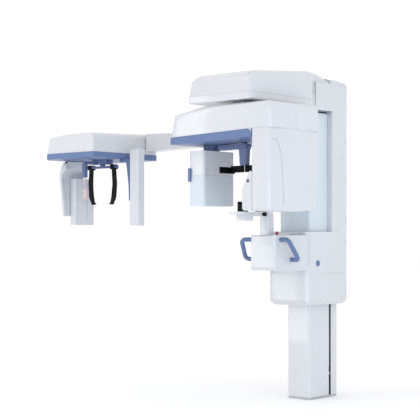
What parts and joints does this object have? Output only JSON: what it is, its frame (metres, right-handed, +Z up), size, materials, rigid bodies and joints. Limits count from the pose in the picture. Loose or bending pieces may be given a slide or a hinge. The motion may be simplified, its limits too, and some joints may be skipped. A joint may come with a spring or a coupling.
{
  "type": "panoramic x-ray machine",
  "caption": "Column-mounted dental panoramic x-ray unit with a rotating tube and sensor arm, lifting carriage, patient table and a side cephalometric arm.",
  "frame": {"origin": "centre of the column's foot, on the floor and in the middle of the anchor holes", "axes": "+Z up, +Y towards the wall behind the column, -Y towards the patient, cephalometric unit on the -X side"},
  "size_m": [1.8189, 1.121, 1.9356],
  "materials": {
    "white_cover": "satin",
    "pale_cover": "satin",
    "blue_trim": "satin",
    "black_plastic": "matte",
    "steel": "brushed",
    "frame_paint": "powder coated",
    "belt_rubber": "matte",
    "stop_red": "gloss",
    "tube_glass": "clear"
  },
  "bodies": {
    "column": {"floor_plate": "steel", "column_profile": "white_cover", "screw_supports": "steel", "lift_motor": "frame_paint", "wall_bracket": "white_cover", "mains_inlet": "black_plastic"},
    "lift_screw": {"lift_screw": "steel"},
    "carriage": {"carriage_frame": "frame_paint", "guide_pads": "black_plastic", "lift_bridge": "steel", "lower_cover": "white_cover", "middle_cover": "white_cover", "upper_front_cover": "pale_cover", "side_cover_left": "white_cover", "side_cover_right": "white_cover", "overhead_beam": "frame_paint", "overhead_tray": "white_cover", "overhead_cover": "white_cover", "overhead_rear_cap": "white_cover", "rotor_bearing": "steel", "rotor_motor": "frame_paint", "drive_belt": "belt_rubber", "head_post": "blue_trim", "patient_table": "white_cover", "table_handles": "blue_trim", "chin_arm": "white_cover", "control_panel": "blue_trim", "ceph_arm": "white_cover", "ceph_cover": "white_cover", "ceph_band": "blue_trim", "ceph_rails": "steel"},
    "rotor": {"rotor_shaft": "steel", "crossbar_frame": "frame_paint", "crossbar_cover": "white_cover", "crossbar_band": "blue_trim", "tube_cover": "white_cover", "collimator_cover": "pale_cover", "tube_tank": "frame_paint", "xray_tube": "tube_glass", "sensor_hub": "blue_trim", "sensor_upper_cover": "white_cover", "sensor_lower_cover": "pale_cover", "sensor_board": "black_plastic"},
    "motor_pulley": {"motor_pulley": "steel"},
    "sensor_lever": {"sensor_lever": "blue_trim"},
    "temple_left": {"temple_arm_left": "black_plastic"},
    "temple_right": {"temple_arm_right": "black_plastic"},
    "chin_rest": {"chin_rest": "black_plastic"},
    "clamp_knob": {"clamp_knob": "black_plastic"},
    "key_up": {"key_up": "pale_cover"},
    "key_down": {"key_down": "pale_cover"},
    "stop_button": {"stop_button": "stop_red"},
    "side_button": {"side_button": "blue_trim"},
    "head_holder": {"head_holder": "blue_trim"},
    "ear_left": {"ear_rod_left": "black_plastic"},
    "ear_right": {"ear_rod_right": "black_plastic"},
    "nasion": {"nasion_rest": "pale_cover"},
    "ceph_detector": {"ceph_detector": "white_cover"},
    "ceph_slit": {"slit_arm": "blue_trim", "ceph_slit": "white_cover"}
  },
  "joints": [
    {"name": "carriage_lift", "type": "slide", "parent": "column", "child": "carriage", "axis": [0, 0, 1], "range_m": [-0.28, 0.4]},
    {"name": "lift_screw_turn", "type": "hinge", "parent": "column", "child": "lift_screw", "pos_m": [0, 0.064, 0.8], "axis": [0, 0, 1], "range_deg": [-5040, 7200]},
    {"name": "rotor_turn", "type": "hinge", "parent": "carriage", "child": "rotor", "pos_m": [0, -0.637, 1.6], "axis": [0, 0, 1], "range_deg": [-200, 20]},
    {"name": "motor_pulley_turn", "type": "hinge", "parent": "carriage", "child": "motor_pulley", "pos_m": [0, -0.4, 1.728], "axis": [0, 0, 1], "range_deg": [-750, 75]},
    {"name": "sensor_lever_turn", "type": "hinge", "parent": "rotor", "child": "sensor_lever", "pos_m": [-0.297, -0.773, 1.357], "axis": [1, 0, 0], "range_deg": [-35, 0]},
    {"name": "temple_left_turn", "type": "hinge", "parent": "carriage", "child": "temple_left", "pos_m": [-0.014, -0.637, 1.36], "axis": [0, 0, 1], "range_deg": [-6, 12]},
    {"name": "temple_right_turn", "type": "hinge", "parent": "carriage", "child": "temple_right", "pos_m": [0.014, -0.637, 1.36], "axis": [0, 0, 1], "range_deg": [-12, 6]},
    {"name": "chin_rest_slide", "type": "slide", "parent": "carriage", "child": "chin_rest", "axis": [0, 0, 1], "range_m": [0, 0.04]},
    {"name": "clamp_knob_turn", "type": "hinge", "parent": "carriage", "child": "clamp_knob", "pos_m": [0.03, -0.5, 1.098], "axis": [1, 0, 0], "range_deg": [0, 360]},
    {"name": "key_up_press", "type": "slide", "parent": "carriage", "child": "key_up", "axis": [0, 0, -1], "range_m": [0, 0.0015], "stiffness_N_per_m": 400, "springref_m": -0.001},
    {"name": "key_down_press", "type": "slide", "parent": "carriage", "child": "key_down", "axis": [0, 0, -1], "range_m": [0, 0.0015], "stiffness_N_per_m": 400, "springref_m": -0.001},
    {"name": "stop_press", "type": "slide", "parent": "carriage", "child": "stop_button", "axis": [0, 0, -1], "range_m": [0, 0.003], "stiffness_N_per_m": 600, "springref_m": -0.001},
    {"name": "side_button_press", "type": "slide", "parent": "carriage", "child": "side_button", "axis": [-1, 0, 0], "range_m": [0, 0.002], "stiffness_N_per_m": 600, "springref_m": -0.001},
    {"name": "head_holder_turn", "type": "hinge", "parent": "carriage", "child": "head_holder", "pos_m": [-1.178, -0.637, 1.42], "axis": [0, 0, 1], "range_deg": [0, 90]},
    {"name": "ear_left_slide", "type": "slide", "parent": "head_holder", "child": "ear_left", "axis": [1, 0, 0], "range_m": [-0.008, 0.06]},
    {"name": "ear_right_slide", "type": "slide", "parent": "head_holder", "child": "ear_right", "axis": [1, 0, 0], "range_m": [-0.06, 0.008]},
    {"name": "nasion_slide", "type": "slide", "parent": "head_holder", "child": "nasion", "axis": [0, 0, 1], "range_m": [-0.02, 0.01]},
    {"name": "detector_scan", "type": "slide", "parent": "carriage", "child": "ceph_detector", "axis": [0, 1, 0], "range_m": [-0.1, 0.1]},
    {"name": "slit_scan", "type": "slide", "parent": "carriage", "child": "ceph_slit", "axis": [0, 1, 0], "range_m": [-0.068, 0.068]}
  ],
  "couplings": [
    {"joint": "lift_screw_turn", "follows": "carriage_lift", "rad_per_m": 314.16},
    {"joint": "motor_pulley_turn", "follows": "rotor_turn", "ratio": 3.75},
    {"joint": "temple_right_turn", "follows": "temple_left_turn", "ratio": -1},
    {"joint": "ear_right_slide", "follows": "ear_left_slide", "ratio": -1},
    {"joint": "slit_scan", "follows": "detector_scan", "ratio": 0.68}
  ]
}
